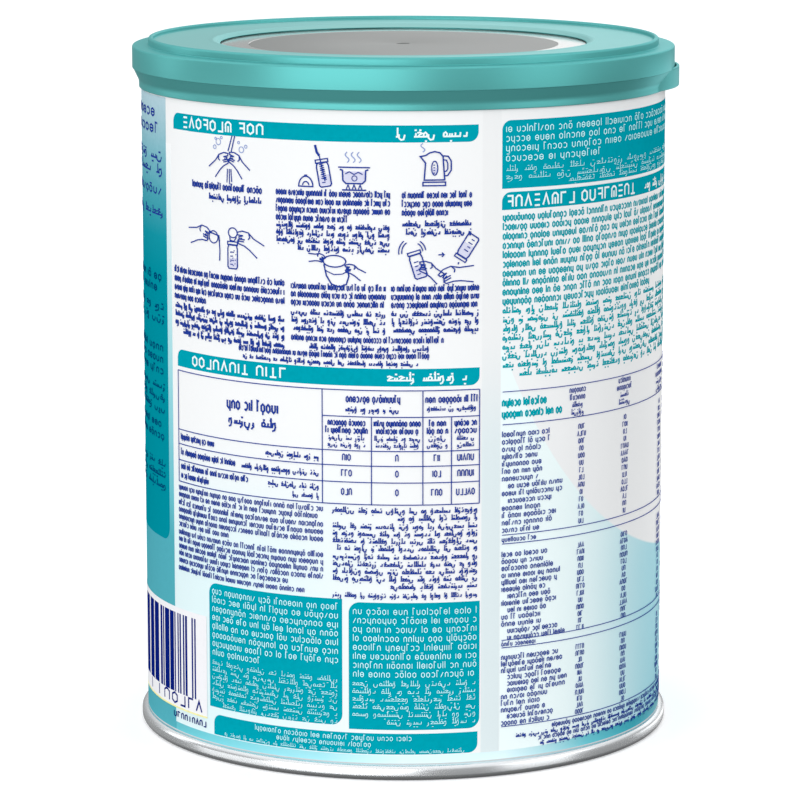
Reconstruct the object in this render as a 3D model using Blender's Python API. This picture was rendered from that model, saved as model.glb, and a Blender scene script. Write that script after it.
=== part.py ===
"""Milk powder tin with a press-on plastic lid, standing on its seamed steel base.

The frame is in metres with +Z up. The origin is on the tin's axis, at the surface it stands on.
The lid's thumb tab points along +X.
"""

import math

import bmesh
import bpy

MM = 0.001
FIT = 0.3 * MM  # gap between neighbouring pieces
SEGMENTS = 72  # sides of every turned piece

# Tin
WALL_R = 63.5 * MM
TIN_TOP = 165.7 * MM
TOP_SEAM_R = 64.4 * MM
TOP_SEAM_LOW = 162.9 * MM
NECK_TOP = 162.2 * MM
TOP_SEAM_EDGE = 0.5 * MM  # rounding of the hidden top seam

# Base end, seamed on to the wall
BASE_SEAM_R = 65.0 * MM
BASE_SEAM_H = 3.75 * MM
SEAM_SHOULDER = 1.3 * MM  # rounding at the top of the seam
SEAM_FOOT = 1.0 * MM  # rounding between the seam's side and its foot
FOOT_IN_R = 63.2 * MM
FOOT_INNER_ROUND = 0.6 * MM
CHUCK_WALL_R = 62.0 * MM
COUNTERSINK_Z = 3.25 * MM
PANEL_Z = 2.6 * MM
BEAD_RADII = (59.6 * MM, 53.0 * MM, 46.4 * MM)  # each is where a step in the panel starts
BEAD_SLOPE = 0.8 * MM

# Lid
LID_TOP_SKIN = 166.0 * MM  # underside of the lid's top
BAND_R = 65.7 * MM
BAND_LOW = 161.5 * MM
LEDGE_Z = 166.95 * MM
BAND_TOP_ROUND = 0.5 * MM
BAND_LOW_ROUND = 0.22 * MM
COVE_MID_R = 64.5 * MM
COVE_MID_Z = 159.4 * MM
LIP_R = 64.1 * MM
LIP_TOP = 158.0 * MM
LIP_LOW = 156.9 * MM
LIP_ROUND = 0.2 * MM
LIP_BORE_R = 63.8 * MM
CAVITY_R = 64.7 * MM
CAVITY_LOW = 162.5 * MM
RING_OUT_R = 61.8 * MM
RING_IN_R = 60.6 * MM
RING_TOP = 168.85 * MM
ANNULUS_Z = 167.85 * MM
RIM_START_R = 47.3 * MM  # where the annulus starts to round down into the recess
RIM_EDGE_R = 45.2 * MM
RIM_EDGE_Z = 167.6 * MM
RIM_LIP_R = 44.4 * MM

# Pale ring and grey disc in the lid's recess
RECESS_FLOOR_Z = 166.85 * MM
CENTRE_RING_OUT_R = 45.3 * MM
CENTRE_RING_IN_R = 37.75 * MM
DISC_EDGE = 0.1 * MM

# Thumb tab
TAB_HALF_ANGLE = math.radians(17.5)
TAB_STEPS = 14
TAB_OUT_R = 66.9 * MM
TAB_IN_R = 66.15 * MM
TAB_LOW = 157.1 * MM
TAB_TOP = 161.95 * MM
TAB_GAP_FLOOR = 161.0 * MM
TAB_EDGE = 0.22 * MM
TAB_ROOT_R = 63.93 * MM  # buried in the lip
GUSSET_OUT_R = 66.55 * MM
GUSSET_LEVELS = 5
GUSSET_STEPS = 4
GUSSET_SPREAD_LOW = math.radians(2.2)
GUSSET_SPREAD_HIGH = math.radians(7.6)
GUSSET_OVERLAP = math.radians(0.5)
GUSSET_INSET = 0.1 * MM  # keeps the gusset's ends off the tab's own faces
BURIED = 0.2 * MM  # depth of a gusset's hidden faces below the lid's skin


def clear_scene():
    for obj in list(bpy.data.objects):
        bpy.data.objects.remove(obj, do_unlink=True)


def arc(centre_r, centre_z, radius, start_deg, end_deg, steps):
    """Points on an arc in the (r, z) plane, with both ends."""
    points = []
    for i in range(steps + 1):
        angle = math.radians(start_deg + (end_deg - start_deg) * i / steps)
        points.append((centre_r + radius * math.cos(angle), centre_z + radius * math.sin(angle)))
    return points


def finished(name, mesh_builder, finish):
    """Turns a bmesh into a smooth-shaded object that carries its finish, a material or None."""
    bmesh.ops.recalc_face_normals(mesh_builder, faces=mesh_builder.faces)
    mesh = bpy.data.meshes.new(name)
    mesh_builder.to_mesh(mesh)
    mesh_builder.free()
    mesh.shade_smooth()
    mesh.set_sharp_from_angle(angle=math.radians(35))
    obj = bpy.data.objects.new(name, mesh)
    bpy.context.scene.collection.objects.link(obj)
    if finish:
        mesh.materials.append(finish)
    return obj


def turned(name, profile, finish, closed):
    """Spins a profile of (r, z) points about Z. A closed profile leaves a hole along the axis."""
    shape = bmesh.new()
    verts = [shape.verts.new((r, 0.0, z)) for r, z in profile]
    ends = verts[1:] + verts[:1] if closed else verts[1:]
    edges = [shape.edges.new(pair) for pair in zip(verts, ends)]
    bmesh.ops.spin(
        shape,
        geom=verts + edges,
        cent=(0.0, 0.0, 0.0),
        axis=(0.0, 0.0, 1.0),
        angle=2.0 * math.pi,
        steps=SEGMENTS,
        use_merge=True,
    )
    bmesh.ops.remove_doubles(shape, verts=shape.verts, dist=0.001 * MM)
    return finished(name, shape, finish)


def material(name, colour, roughness, metallic=0.0):
    made = bpy.data.materials.new(name)
    made.use_nodes = True
    shader = made.node_tree.nodes["Principled BSDF"]
    shader.inputs["Base Color"].default_value = (*colour, 1.0)
    shader.inputs["Roughness"].default_value = roughness
    shader.inputs["Metallic"].default_value = metallic
    return made


def make_tin_body():
    """The filled tin, shut under the lid, so it is solid from the base end up to its top seam."""
    profile = [(0.0, TIN_TOP)]
    profile += arc(TOP_SEAM_R - TOP_SEAM_EDGE, TIN_TOP - TOP_SEAM_EDGE, TOP_SEAM_EDGE, 90, 0, 2)
    profile += [(TOP_SEAM_R, TOP_SEAM_LOW), (WALL_R, NECK_TOP)]
    profile += [(WALL_R, BASE_SEAM_H + FIT), (0.0, BASE_SEAM_H + FIT)]
    paint = material("printed_tinplate", (0.86, 0.88, 0.90), 0.3)
    return turned("tin_body", profile, paint, closed=False)


def make_base_end():
    """Steel end with its double seam below the wall and a countersunk, stepped panel."""
    shoulder_r = BASE_SEAM_R - SEAM_SHOULDER
    foot_r = BASE_SEAM_R - SEAM_FOOT
    profile = [(0.0, BASE_SEAM_H)]
    profile += arc(shoulder_r, BASE_SEAM_H - SEAM_SHOULDER, SEAM_SHOULDER, 90, 0, 4)
    profile += arc(foot_r, SEAM_FOOT, SEAM_FOOT, 0, -90, 3)
    profile += arc(FOOT_IN_R, FOOT_INNER_ROUND, FOOT_INNER_ROUND, -90, -180, 2)
    profile += [(CHUCK_WALL_R, COUNTERSINK_Z)]
    level, other = COUNTERSINK_Z, PANEL_Z
    for radius in BEAD_RADII:
        profile += [(radius, level), (radius - BEAD_SLOPE, other)]
        level, other = other, level
    profile += [(0.0, level)]
    steel = material("seamed_steel", (0.62, 0.63, 0.65), 0.25, metallic=1.0)
    return turned("base_end", profile, steel, closed=False)


def cove_radius(z):
    """Radius of the lid's outer skin between the band and the lip, at height z."""
    if z >= COVE_MID_Z:
        share = (z - COVE_MID_Z) / (BAND_LOW - COVE_MID_Z)
        return COVE_MID_R + share * (BAND_R - BAND_LOW_ROUND - COVE_MID_R)
    share = max(0.0, (z - LIP_TOP) / (COVE_MID_Z - LIP_TOP))
    return LIP_R + (COVE_MID_R - LIP_R) * share**2


def lid_profile():
    """The lid's closed section: recess rim, stacking ring, band, cove and lip, then back up inside."""
    profile = [(RIM_LIP_R, RECESS_FLOOR_Z + FIT)]
    rim_width, rim_drop = RIM_START_R - RIM_EDGE_R, ANNULUS_Z - RIM_EDGE_Z
    for i in range(4):
        angle = math.radians(90 * i / 3)
        profile.append((RIM_START_R - rim_width * math.cos(angle), RIM_EDGE_Z + rim_drop * math.sin(angle)))
    ring_mid, ring_half = (RING_IN_R + RING_OUT_R) / 2, (RING_OUT_R - RING_IN_R) / 2
    profile += [(RING_IN_R, ANNULUS_Z)]
    profile += arc(ring_mid, RING_TOP - ring_half, ring_half, 180, 0, 4)
    profile += [(RING_OUT_R, LEDGE_Z)]
    profile += arc(BAND_R - BAND_TOP_ROUND, LEDGE_Z - BAND_TOP_ROUND, BAND_TOP_ROUND, 90, 0, 2)
    profile += [(BAND_R, BAND_LOW + BAND_LOW_ROUND), (BAND_R - BAND_LOW_ROUND, BAND_LOW)]
    for i in range(4):
        z = COVE_MID_Z + (LIP_TOP - COVE_MID_Z) * i / 3
        profile.append((cove_radius(z), z))
    profile += [(LIP_R, LIP_LOW + LIP_ROUND), (LIP_R - LIP_ROUND / 2, LIP_LOW), (LIP_BORE_R, LIP_LOW)]
    profile += [(LIP_BORE_R, NECK_TOP - FIT), (CAVITY_R, CAVITY_LOW), (CAVITY_R, LID_TOP_SKIN)]
    profile += [(CENTRE_RING_OUT_R + FIT, LID_TOP_SKIN), (CENTRE_RING_OUT_R + FIT, RECESS_FLOOR_Z + FIT)]
    return profile


def on_circle(radius, angle, z):
    return (radius * math.cos(angle), radius * math.sin(angle), z)


def make_tab():
    """The thumb tab: a curved strip that stands off the band, rooted in the lid's cove and lip."""
    section = [
        (TAB_ROOT_R, TAB_LOW),
        (TAB_OUT_R - TAB_EDGE, TAB_LOW),
        (TAB_OUT_R, TAB_LOW + TAB_EDGE),
        (TAB_OUT_R, TAB_TOP - TAB_EDGE),
        (TAB_OUT_R - TAB_EDGE, TAB_TOP),
        (TAB_IN_R + TAB_EDGE, TAB_TOP),
        (TAB_IN_R, TAB_TOP - TAB_EDGE),
        (TAB_IN_R, TAB_GAP_FLOOR),
        (COVE_MID_R, TAB_GAP_FLOOR),
        (COVE_MID_R - BURIED, COVE_MID_Z),
        (TAB_ROOT_R, LIP_TOP),
    ]
    shape = bmesh.new()
    start = [shape.verts.new(on_circle(r, -TAB_HALF_ANGLE, z)) for r, z in section]
    face = shape.faces.new(start)
    bmesh.ops.spin(
        shape,
        geom=[face],
        cent=(0.0, 0.0, 0.0),
        axis=(0.0, 0.0, 1.0),
        angle=2.0 * TAB_HALF_ANGLE,
        steps=TAB_STEPS,
    )
    return finished("tab_tool", shape, None)


def make_gusset(side):
    """The web that fairs one end of the tab into the cove. Side is -1 or 1."""
    shape = bmesh.new()
    rows = []
    for i in range(GUSSET_LEVELS):
        share = i / (GUSSET_LEVELS - 1)
        z = TAB_LOW + GUSSET_INSET + (TAB_GAP_FLOOR - TAB_LOW - 2 * GUSSET_INSET) * share
        spread = GUSSET_SPREAD_LOW + (GUSSET_SPREAD_HIGH - GUSSET_SPREAD_LOW) * math.sin(math.pi / 2 * share)
        skin = cove_radius(z)
        inner = max(TAB_ROOT_R, skin - 2 * BURIED)
        low_outer = (skin + inner) / 2
        row = []
        for j in range(GUSSET_STEPS):
            across = j / (GUSSET_STEPS - 1)
            angle = side * (TAB_HALF_ANGLE - GUSSET_OVERLAP + (spread + GUSSET_OVERLAP) * across)
            outer = low_outer + (GUSSET_OUT_R - low_outer) * (1 - across) ** 2
            row.append((on_circle(outer, angle, z), on_circle(inner, angle, z)))
        rows.append(row)
    outer_skin = [[shape.verts.new(pair[0]) for pair in row] for row in rows]
    inner_skin = [[shape.verts.new(pair[1]) for pair in row] for row in rows]
    for skin in (outer_skin, inner_skin):
        for low, high in zip(skin, skin[1:]):
            for j in range(GUSSET_STEPS - 1):
                shape.faces.new((low[j], low[j + 1], high[j + 1], high[j]))
    for level in (0, -1):
        for j in range(GUSSET_STEPS - 1):
            outer, inner = outer_skin[level], inner_skin[level]
            shape.faces.new((outer[j], outer[j + 1], inner[j + 1], inner[j]))
    for column in (0, -1):
        for i in range(GUSSET_LEVELS - 1):
            low, high = (outer_skin[i], inner_skin[i]), (outer_skin[i + 1], inner_skin[i + 1])
            shape.faces.new((low[0][column], high[0][column], high[1][column], low[1][column]))
    return finished("gusset_tool_front" if side < 0 else "gusset_tool_back", shape, None)


def join_tool(obj, tool):
    """Fuses a hidden tool object on to obj with a Boolean union."""
    tool.hide_render = True
    tool.display_type = "WIRE"
    union = obj.modifiers.new("join_" + tool.name, "BOOLEAN")
    union.operation = "UNION"
    union.object = tool


def make_lid():
    plastic = material("teal_plastic", (0.11, 0.46, 0.43), 0.35)
    lid = turned("lid", lid_profile(), plastic, closed=True)
    for tool in (make_tab(), make_gusset(side=-1), make_gusset(side=1)):
        join_tool(lid, tool)
    return lid


def make_centre_ring():
    """Pale ring round the disc, held under the lid's rim."""
    low = TIN_TOP + FIT
    profile = [(CENTRE_RING_IN_R, RECESS_FLOOR_Z), (CENTRE_RING_OUT_R, RECESS_FLOOR_Z)]
    profile += [(CENTRE_RING_OUT_R, low), (CENTRE_RING_IN_R, low)]
    pale = material("pale_plastic", (0.85, 0.85, 0.84), 0.35)
    return turned("centre_ring", profile, pale, closed=True)


def make_centre_disc():
    """Grey disc in the middle of the lid."""
    low = TIN_TOP + FIT
    radius = CENTRE_RING_IN_R - FIT
    profile = [(0.0, RECESS_FLOOR_Z), (radius - DISC_EDGE, RECESS_FLOOR_Z)]
    profile += [(radius, RECESS_FLOOR_Z - DISC_EDGE), (radius, low), (0.0, low)]
    grey = material("grey_foil", (0.42, 0.43, 0.43), 0.4, metallic=0.3)
    return turned("centre_disc", profile, grey, closed=False)


def main():
    clear_scene()
    make_tin_body()
    make_base_end()
    make_lid()
    make_centre_ring()
    make_centre_disc()


main()
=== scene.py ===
"""Looks of the milk powder tin: printed wall, seamed steel base and teal lid with its thumb tab.

Sizes are in millimetres and become metres where a mesh is made. A place on the wall is given as the
angle from the front, in degrees and positive to the right, with the height above the table.
"""

import math
import random
from typing import NamedTuple

import bmesh
import bpy
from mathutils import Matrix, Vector


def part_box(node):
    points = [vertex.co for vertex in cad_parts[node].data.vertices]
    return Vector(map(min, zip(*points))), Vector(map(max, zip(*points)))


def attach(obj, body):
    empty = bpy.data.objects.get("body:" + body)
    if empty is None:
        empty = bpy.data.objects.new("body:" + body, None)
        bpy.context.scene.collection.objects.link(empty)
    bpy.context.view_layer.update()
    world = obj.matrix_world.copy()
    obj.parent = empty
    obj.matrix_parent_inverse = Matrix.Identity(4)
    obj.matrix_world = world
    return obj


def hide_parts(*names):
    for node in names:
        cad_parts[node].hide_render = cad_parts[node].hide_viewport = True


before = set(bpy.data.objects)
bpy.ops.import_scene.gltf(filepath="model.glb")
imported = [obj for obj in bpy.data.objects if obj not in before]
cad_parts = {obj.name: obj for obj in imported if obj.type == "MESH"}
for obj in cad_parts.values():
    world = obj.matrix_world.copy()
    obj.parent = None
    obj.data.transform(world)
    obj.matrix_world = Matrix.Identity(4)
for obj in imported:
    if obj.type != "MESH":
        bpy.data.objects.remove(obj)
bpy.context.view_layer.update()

MM = 0.001
FIT = 0.3  # gap between neighbouring pieces
SEGMENTS = 288  # sides of every turned piece

_, tin_high = (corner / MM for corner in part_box("tin_body"))
_, base_high = (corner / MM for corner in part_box("base_end"))
lid_low, lid_high = (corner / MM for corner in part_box("lid"))
_, ring_high = (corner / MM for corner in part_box("centre_ring"))
_, disc_high = (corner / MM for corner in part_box("centre_disc"))

# Tin wall, with the hidden seam under the lid
WALL_R = 63.5
ACROSS = math.degrees(1 / WALL_R)  # degrees to a millimetre round the wall
TIN_TOP = tin_high.z
TOP_SEAM_R = tin_high.y
TOP_SEAM_LOW = TIN_TOP - 2.8
TOP_SEAM_ROUND = 0.6
TOP_SEAM_LOW_ROUND = 0.4
NECK_TOP = TOP_SEAM_LOW - 0.7

# Base seam and the countersunk panel of the steel end
BASE_R = base_high.y
BASE_H = base_high.z
SEAM_SHOULDER = 1.3
SEAM_FOOT = 1.4
FOOT_IN_R = BASE_R - 1.8
FOOT_INNER_ROUND = 0.6
CHUCK_WALL_R = BASE_R - 3.0
COUNTERSINK_Z = 3.25
PANEL_Z = 2.6
BEAD_RADII = (59.6, 53.0, 46.4)
BEAD_SLOPE = 0.8
SEAM_FILL = 0.1  # how far the wall goes down into the base seam

# Lid
BAND_R = lid_high.y
RING_TOP = lid_high.z
LIP_LOW = lid_low.z
TAB_OUT_R = lid_high.x
BAND_LOW = 161.5
LEDGE_Z = 166.95
BAND_TOP_ROUND = 0.5
BAND_LOW_ROUND = 0.22
COVE_MID_R = 64.5
COVE_MID_Z = 159.4
LIP_R = 64.1
LIP_TOP = 158.0
LIP_ROUND = 0.2
LIP_BORE_R = WALL_R + FIT
CAVITY_R = TOP_SEAM_R + FIT
CAVITY_LOW = 162.5
CAVITY_TOP = TIN_TOP + FIT
RING_OUT_R = 61.8
RING_IN_R = 60.6
RING_FOOT_ROUND = 0.25
ANNULUS_Z = 167.85
RIM_START_R = 47.3
RIM_EDGE_R = 45.2
RIM_EDGE_Z = 167.6
RIM_LIP_R = 44.4
RIM_BEAD = 0.2
RIM_BEAD_R = 46.3
RIM_BEAD_WIDE = 0.65

# Thumb tab: a strip that bends more than the lid does, so it comes out of the cove and stands off the band
TAB_BEND_R = 38.0
TAB_THICK = 0.75
TAB_LOW = 157.1
TAB_TOP = 161.95
TAB_GAP_FLOOR = 161.0
TAB_EDGE = 0.22
TAB_ROOT_R = 63.93
TAB_END_R = 64.06
TAB_SUNK = 0.35  # how far its top stays below the cove's slope where the strip dives into it
TAB_BURIED = 0.2  # how far its root reaches into the cove
TAB_ROWS = 80

# Pale ring and grey disc in the lid's recess
RECESS_Z = ring_high.z
CENTRE_RING_R = ring_high.y
DISC_R = disc_high.y
GATE_MARK_R = 1.7

# Camera, fitted to the photo's ellipses, and the floor under the tin in metres
CAMERA_X = -0.83
CAMERA_BACK = 947.5
CAMERA_H = 247.1
CAMERA_DOWN = 10.06
LENS = 175.7
SENSOR = 36
FLOOR_REACH = 6


def srgb(red, green, blue):
    """A screen colour from 0 to 255 as the linear colour that shaders take."""
    linear = []
    for part in (red / 255, green / 255, blue / 255):
        linear.append(part / 12.92 if part <= 0.04045 else ((part + 0.055) / 1.055) ** 2.4)
    return (*linear, 1.0)


class Value:
    """What comes out of a node: Python's operators on it add Math nodes."""

    def __init__(self, nodes, socket):
        self.nodes = nodes
        self.socket = socket

    def maths(self, operation, *numbers):
        made = self.nodes.node("ShaderNodeMath", {"operation": operation}, dict(enumerate(numbers)))
        return Value(self.nodes, made.outputs[0])

    def __add__(self, other):
        return self.maths("ADD", self, other)

    def __sub__(self, other):
        return self.maths("SUBTRACT", self, other)

    def __rsub__(self, other):
        return self.maths("SUBTRACT", other, self)

    def __mul__(self, other):
        return self.maths("MULTIPLY", self, other)

    def __truediv__(self, other):
        return self.maths("DIVIDE", self, other)

    __radd__ = __add__
    __rmul__ = __mul__


class Nodes:
    """The nodes of a material or of the sky while they are added, and the shader that they feed."""

    def __init__(self, owner, shader):
        owner.use_nodes = True
        self.tree = owner.node_tree
        self.shader = self.tree.nodes[shader]

    def node(self, kind, settings, inputs):
        """Adds one node: its type, its settings, then the values or links of its sockets."""
        made = self.tree.nodes.new(kind)
        for name, value in settings.items():
            setattr(made, name, value)
        for name, value in inputs.items():
            if isinstance(value, Value):
                self.tree.links.new(value.socket, made.inputs[name])
            else:
                made.inputs[name].default_value = value
        return made

    def out(self, made, name):
        return Value(self, made.outputs[name])

    def place(self, source="Object"):
        return self.out(self.node("ShaderNodeTexCoord", {}, {}), source)

    def axes(self, source="Object"):
        parts = self.node("ShaderNodeSeparateXYZ", {}, {"Vector": self.place(source)})
        return self.out(parts, "X"), self.out(parts, "Y"), self.out(parts, "Z")

    def ramp(self, value, stops):
        """A colour that runs through the stops, each a share from 0 to 1 with its colour."""
        made = self.node("ShaderNodeValToRGB", {}, {"Fac": value})
        first, last = made.color_ramp.elements
        first.position, first.color = stops[0]
        last.position, last.color = stops[-1]
        for position, colour in stops[1:-1]:
            made.color_ramp.elements.new(position).color = colour
        return self.out(made, "Color")

    def feed(self, socket, value):
        self.tree.links.new(value.socket, self.shader.inputs[socket])


class Finish(Nodes):
    """A material while it is made. Sockets holds the values that are the same all over."""

    def __init__(self, name, sockets):
        self.material = bpy.data.materials.new(name)
        super().__init__(self.material, "Principled BSDF")
        for socket, value in sockets.items():
            self.shader.inputs[socket].default_value = value

    def wall_place(self):
        """Angle from the front in degrees and height in millimetres."""
        x, y, z = self.axes()
        turn = x.maths("ARCTAN2", x, 0 - y)
        return turn * math.degrees(1), z / MM

    def radius(self):
        """Distance from the tin's axis in millimetres."""
        x, y, _ = self.axes()
        square = x * x + y * y
        return square.maths("SQRT", square) / MM

    def noise(self, scale, detail=3.0, stretch=(1, 1, 1)):
        """Noise with scale grains to the metre, stretched along an axis where that part is small."""
        spread = self.node("ShaderNodeVectorMath", {"operation": "MULTIPLY"}, {0: self.place(), 1: stretch})
        placed = self.out(spread, "Vector")
        made = self.node("ShaderNodeTexNoise", {}, {"Vector": placed, "Scale": scale, "Detail": detail})
        return self.out(made, "Fac")

    def step(self, value, low, high):
        """Rises smoothly from 0 at low to 1 at high."""
        settings = {"interpolation_type": "SMOOTHSTEP"}
        made = self.node("ShaderNodeMapRange", settings, {"Value": value, "From Min": low, "From Max": high})
        return self.out(made, "Result")

    def mix(self, share, first, second):
        """The first colour, with that share of the second one."""
        made = self.node("ShaderNodeMix", {"data_type": "RGBA"}, {0: share, 6: first, 7: second})
        return Value(self, made.outputs[2])

    def done(self, colour, roughness, relief, depth, strength):
        """Feeds the shader with the colour, the roughness and a relief of that depth in millimetres."""
        inputs = {"Height": relief, "Distance": depth * MM, "Strength": strength}
        self.feed("Base Color", colour)
        self.feed("Roughness", roughness)
        self.feed("Normal", self.out(self.node("ShaderNodeBump", {}, inputs), "Normal"))
        return self.material


# Colours of the print, as they look on the tin in even light
PAPER_WHITE = srgb(242, 244, 245)
TEAL = srgb(0, 160, 178)
TEAL_DEEP = srgb(0, 141, 158)
TEAL_MID = srgb(74, 176, 188)
AQUA_PALE = srgb(222, 243, 246)
SKY_PALE = srgb(203, 224, 234)
NAVY = srgb(38, 63, 154)
STRIP_FOOT = srgb(82, 172, 186)
INK_ROUGHNESS = 0.29

# Where the print's fields meet, in degrees from the front and millimetres of height
CHANNEL_LEFT = 16.3
CHANNEL_RIGHT = 20.4
RIGHT_END = 100.0
CURVE_FROM = 29.0
STRIP_EDGE = -62.0
STRIP_BACK = -242.0
STRIP_LOW = 50.0
STRIP_TOP = 156.6
STRIP_LINE_LOW = 51.6
STRIP_LINE_TOP = 146.0
STRIP_LINE_WIDE = 2.2
WELD_ANGLE = 108.0
WELD_WIDE = 1.3
WELD_TOP = TIN_TOP - 12
BOTTOM_BAND_TOP = 5.9
PRINT_LOW = BASE_H + 0.12


def printed_look(finish, colour):
    """The lacquer over the print: a soft gloss that is never quite even."""
    cloud = finish.noise(38, 2.0)
    fine = finish.noise(2600, 2.0)
    roughness = INK_ROUGHNESS + cloud * 0.08 + fine * 0.03
    return finish.done(colour, roughness, cloud * 0.8 + fine * 0.2, 0.012, 0.5)


def ink(name, colour, shade=0.86):
    """One printed colour, a little lighter and darker where the ink lies thinner and thicker."""
    finish = Finish(name, {"Specular IOR Level": 0.0})
    thick = tuple(part * shade for part in colour[:3]) + (1.0,)
    share = finish.step(finish.noise(900, 4.0), 0.35, 0.75) * 0.5 + finish.noise(26, 2.0) * 0.3
    return printed_look(finish, finish.mix(share, colour, thick))


def side_strip_ink():
    """The side strip: pale sky at the top, running down into deep teal."""
    finish = Finish("strip_ink", {"Specular IOR Level": 0.0})
    _, height = finish.wall_place()
    low, tall = 10, 150
    stops = [(0.0, TEAL_DEEP), (0.69, TEAL_DEEP), (0.755, srgb(22, 148, 164)), (0.82, srgb(78, 165, 180)),
             (0.88, srgb(128, 187, 200)), (0.94, srgb(172, 206, 217)), (1.0, SKY_PALE)]
    colour = finish.ramp((height - low) / tall, stops)
    grain = finish.noise(900, 4.0) * 0.25
    return printed_look(finish, finish.mix(grain, colour, TEAL_DEEP))


def strip_line_ink():
    """The line beside the side strip: pale at the top, running down into the colour of the strip's foot."""
    finish = Finish("strip_line_ink", {"Specular IOR Level": 0.0})
    _, height = finish.wall_place()
    stops = [(0.0, STRIP_FOOT), (0.1, srgb(104, 190, 202)), (0.3, srgb(138, 207, 218)),
             (0.48, srgb(168, 221, 228)), (0.74, srgb(210, 235, 240)), (1.0, srgb(246, 248, 249))]
    share = (height - STRIP_LINE_LOW) / (STRIP_LINE_TOP - STRIP_LINE_LOW)
    return printed_look(finish, finish.ramp(share, stops))


def wall_print():
    """White print ground with pale aqua sweeps and a coloured bottom band."""
    finish = Finish("wall_print", {"Specular IOR Level": 0.08})
    angle, height = finish.wall_place()
    # right panel: a pale field below a curve that falls towards its low end, ever less steeply
    low_end, fall, reach = 42, 41, 21
    curve = low_end + fall * angle.maths("POWER", math.exp(-1 / reach), angle - CURVE_FROM)
    below = finish.step(curve - height, -0.35, 0.35)
    on_right = finish.step(angle, CHANNEL_RIGHT, CHANNEL_RIGHT + 0.5)
    depth = finish.step(angle, 30, 84) * (0.7 + 0.3 * finish.step(height, 74, 40))
    right_field = finish.mix(depth, srgb(240, 254, 255), srgb(130, 212, 228))
    # left panel: the lower left corner goes pale aqua
    left_share = finish.step(height, 84, 44) * finish.step(angle, 12, -40)
    ground = finish.mix(left_share, PAPER_WHITE, AQUA_PALE)
    ground = finish.mix(below * on_right, ground, right_field)
    # channel between the panels
    channel = finish.mix(finish.step(height, 108, 72), srgb(238, 240, 241), srgb(221, 234, 237))
    in_channel = finish.step(angle, CHANNEL_LEFT, CHANNEL_LEFT + 0.4) * (1 - on_right)
    ground = finish.mix(in_channel, ground, channel)
    # bottom band, pale in front and teal at both sides, with a top edge that rises at the right
    stops = [(0.0, TEAL), (0.12, TEAL_MID), (0.26, srgb(112, 206, 218)), (0.4, srgb(160, 226, 236)),
             (0.5, srgb(218, 248, 253)), (0.62, srgb(222, 247, 252)), (0.74, srgb(100, 196, 209)),
             (0.84, TEAL), (1.0, TEAL)]
    band = finish.ramp(angle / 180 + 0.5, stops)
    band_place = height - finish.step(angle, 25, 48) * 0.5
    in_band = finish.step(band_place, BOTTOM_BAND_TOP + 0.1, BOTTOM_BAND_TOP - 0.1)
    ground = finish.mix(in_band, ground, band)
    # hairline where the print ends above the base seam
    on_hairline = finish.step(height, PRINT_LOW + 0.14, PRINT_LOW + 0.06)
    ground = finish.mix(on_hairline, ground, srgb(196, 200, 202))
    grain = finish.noise(700, 3.0) * 0.06
    return printed_look(finish, finish.mix(grain, ground, srgb(214, 220, 226)))


def lid_plastic():
    """Moulded teal plastic with a pearly sheen and a fine even grain. The flat plate in its middle is
    painted paler, a painted sheen for the whitish reflection it shows.
    """
    finish = Finish("lid_teal", {"Specular IOR Level": 0.5, "Specular Tint": (0.3, 0.95, 1.0, 1.0)})
    cloud = finish.noise(24, 3.0)
    grain = finish.noise(3400, 2.0)
    colour = finish.mix(cloud * 0.5 + grain * 0.2, srgb(92, 177, 175), srgb(87, 170, 168))
    _, height = finish.wall_place()
    # painted sheen: the flat plate inside the stacking ring gets a paler, less saturated teal that stands in
    # for its whitish reflection
    painted_sheen_on_plate = finish.step(finish.radius(), RING_IN_R, RING_IN_R - 0.5)
    painted_sheen_on_plate = painted_sheen_on_plate * finish.step(height, ANNULUS_Z - 0.85, ANNULUS_Z - 0.45)
    colour = finish.mix(painted_sheen_on_plate, colour, srgb(146, 194, 191))
    finish.feed("Metallic", 0.42 + cloud * 0.06)
    return finish.done(colour, 0.33 + cloud * 0.05 + grain * 0.05, grain * 0.4 + cloud * 0.6, 0.01, 0.6)


def rolled_steel():
    """Bright satin steel with fine lines running round the seam."""
    finish = Finish("bright_steel", {"Metallic": 0.86, "Specular IOR Level": 0.4})
    lines = finish.noise(60, 3.0, (1, 1, 60))
    cloud = finish.noise(40, 3.0)
    colour = finish.mix(cloud, srgb(232, 235, 237), srgb(218, 222, 225))
    return finish.done(colour, 0.21 + lines * 0.04 + cloud * 0.04, lines, 0.0015, 0.3)


def pale_plastic():
    """Pale glossy ring, which mirrors the recess wall behind it."""
    finish = Finish("pale_ring", {"Specular IOR Level": 0.6, "Metallic": 0.72})
    cloud = finish.noise(60, 3.0)
    grain = finish.noise(2800, 2.0)
    colour = finish.mix(cloud * 0.6 + grain * 0.4, srgb(224, 225, 224), srgb(214, 215, 214))
    return finish.done(colour, 0.1 + grain * 0.04, grain, 0.008, 0.4)


def grey_grain():
    """Fine grained grey of the disc in the middle of the lid."""
    finish = Finish("grey_grain", {"Specular IOR Level": 0.5})
    cloud = finish.noise(30, 3.0)
    grain = finish.noise(3600, 3.0, (1, 0.5, 1))
    colour = finish.mix(finish.step(grain, 0.35, 0.68), srgb(116, 119, 118), srgb(129, 132, 131))
    colour = finish.mix(cloud * 0.4, colour, srgb(125, 129, 127))
    finish.feed("Metallic", 0.3 + cloud * 0.1)
    return finish.done(colour, 0.34 + grain * 0.1, grain, 0.03, 0.5)


def floor_finish():
    """Matt white that gives back a little light of its own, so the floor stays even."""
    finish = Finish("pale_floor", {"Roughness": 0.9, "Specular IOR Level": 0.1, "Emission Strength": 0.21})
    finish.feed("Base Color", finish.mix(finish.noise(3, 2.0), srgb(246, 247, 248), srgb(243, 244, 246)))
    return finish.material


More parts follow.
